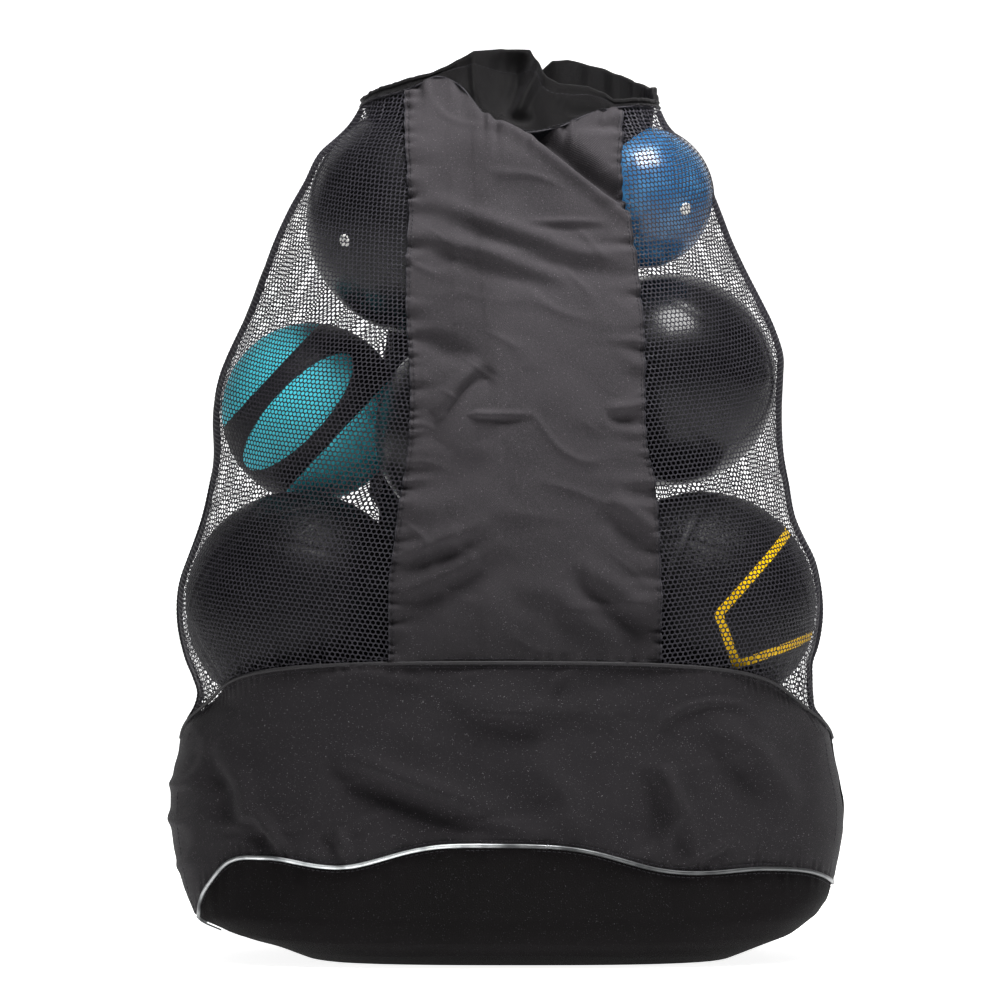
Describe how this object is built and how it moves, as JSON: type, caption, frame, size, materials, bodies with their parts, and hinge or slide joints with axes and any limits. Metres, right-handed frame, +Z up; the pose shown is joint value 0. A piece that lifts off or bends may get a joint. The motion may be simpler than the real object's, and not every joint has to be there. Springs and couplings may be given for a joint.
{
  "type": "mesh ball bag",
  "caption": "Tall drawstring sack with net sides, a fabric base and front panel, carrying straps on the back, standing full of play balls.",
  "frame": {"origin": "on the floor, under the middle of the base's flat underside", "axes": "+Z up the bag to its mouth, front panel towards -Y, straps towards +Y, +X to the viewer's right from the front"},
  "size_m": [0.698, 0.4738, 0.9457],
  "materials": {
    "black_fabric": "coated polyester plain weave, faint sheen",
    "black_net": "warp-knitted polyester net, open hexagonal holes",
    "reflective_piping": "silver reflective film over a cord, glossy",
    "black_piping": "bias tape folded over a cord",
    "webbing": "woven polypropylene webbing",
    "buckle": "moulded acetal",
    "eyelet": "nickel plated",
    "black_ball": "smooth moulded rubber, satin",
    "pebbled_ball": "pebbled moulded rubber",
    "blue_ball": "glossy vinyl",
    "teal_ball": "pebbled rubber in teal with charcoal bands",
    "valve": "white rubber plug"
  },
  "bodies": {
    "bag": {"bottom_panel": "black_fabric", "base_wall_front": "black_fabric", "base_wall_back": "black_fabric", "lower_piping": "reflective_piping", "upper_piping": "black_piping", "front_panel": "black_fabric", "back_panel": "black_fabric", "net_left": "black_net", "net_right": "black_net", "collar": "black_fabric", "collar_hem": "black_fabric", "cord_eyelet_left": "eyelet", "cord_eyelet_right": "eyelet", "strap_yoke": "webbing", "haul_loop": "webbing", "shoulder_pad_left": "black_fabric", "shoulder_pad_right": "black_fabric", "strap_webbing_left": "webbing", "strap_webbing_right": "webbing", "strap_anchor_left": "webbing", "strap_anchor_right": "webbing"},
    "left_slider": {"strap_slider_left": "buckle"},
    "right_slider": {"strap_slider_right": "buckle"},
    "top_left_ball": {"ball_top_left": "black_ball", "valve_top_left": "valve"},
    "blue_ball": {"ball_blue": "blue_ball", "valve_blue": "valve"},
    "right_ball": {"ball_right": "black_ball", "valve_right": "valve"},
    "teal_ball": {"ball_teal": "teal_ball", "valve_teal": "valve"},
    "middle_ball": {"ball_middle": "black_ball", "valve_middle": "valve"},
    "lower_left_ball": {"ball_lower_left": "pebbled_ball", "valve_lower_left": "valve"},
    "lower_right_ball": {"ball_lower_right": "pebbled_ball", "valve_lower_right": "valve"},
    "lower_back_ball": {"ball_lower_back": "pebbled_ball", "valve_lower_back": "valve"},
    "base_left_ball": {"ball_base_left": "pebbled_ball", "valve_base_left": "valve"},
    "base_middle_ball": {"ball_base_middle": "black_ball", "valve_base_middle": "valve"},
    "base_right_ball": {"ball_base_right": "pebbled_ball", "valve_base_right": "valve"}
  },
  "joints": [
    {"name": "left_slider_travel", "type": "slide", "parent": "bag", "child": "left_slider", "axis": [-0.0533, -0.2257, -0.9727], "range_m": [-0.045, 0.055]},
    {"name": "right_slider_travel", "type": "slide", "parent": "bag", "child": "right_slider", "axis": [0.0533, -0.2257, -0.9727], "range_m": [-0.045, 0.055]},
    {"name": "top_left_roll", "type": "hinge", "parent": "bag", "child": "top_left_ball", "pos_m": [-0.086, 0.002, 0.765], "axis": [0, 0, 1], "continuous": true},
    {"name": "blue_roll", "type": "hinge", "parent": "bag", "child": "blue_ball", "pos_m": [0.141, -0.016, 0.787], "axis": [0, 0, 1], "continuous": true},
    {"name": "right_roll", "type": "hinge", "parent": "bag", "child": "right_ball", "pos_m": [0.171, 0, 0.598], "axis": [0, 0, 1], "continuous": true},
    {"name": "teal_roll", "type": "hinge", "parent": "bag", "child": "teal_ball", "pos_m": [-0.203, 0.044, 0.563], "axis": [0, 0, 1], "continuous": true},
    {"name": "middle_roll", "type": "hinge", "parent": "bag", "child": "middle_ball", "pos_m": [-0.03, -0.083, 0.545], "axis": [0, 0, 1], "continuous": true},
    {"name": "lower_left_roll", "type": "hinge", "parent": "bag", "child": "lower_left_ball", "pos_m": [-0.214, -0.036, 0.365], "axis": [0, 0, 1], "continuous": true},
    {"name": "lower_right_roll", "type": "hinge", "parent": "bag", "child": "lower_right_ball", "pos_m": [0.204, -0.034, 0.366], "axis": [0, 0, 1], "continuous": true},
    {"name": "lower_back_roll", "type": "hinge", "parent": "bag", "child": "lower_back_ball", "pos_m": [-0.006, 0.078, 0.372], "axis": [0, 0, 1], "continuous": true},
    {"name": "base_left_roll", "type": "hinge", "parent": "bag", "child": "base_left_ball", "pos_m": [-0.207, 0.034, 0.129], "axis": [0, 0, 1], "continuous": true},
    {"name": "base_middle_roll", "type": "hinge", "parent": "bag", "child": "base_middle_ball", "pos_m": [0.003, -0.058, 0.118], "axis": [0, 0, 1], "continuous": true},
    {"name": "base_right_roll", "type": "hinge", "parent": "bag", "child": "base_right_ball", "pos_m": [0.212, 0.034, 0.129], "axis": [0, 0, 1], "continuous": true}
  ]
}
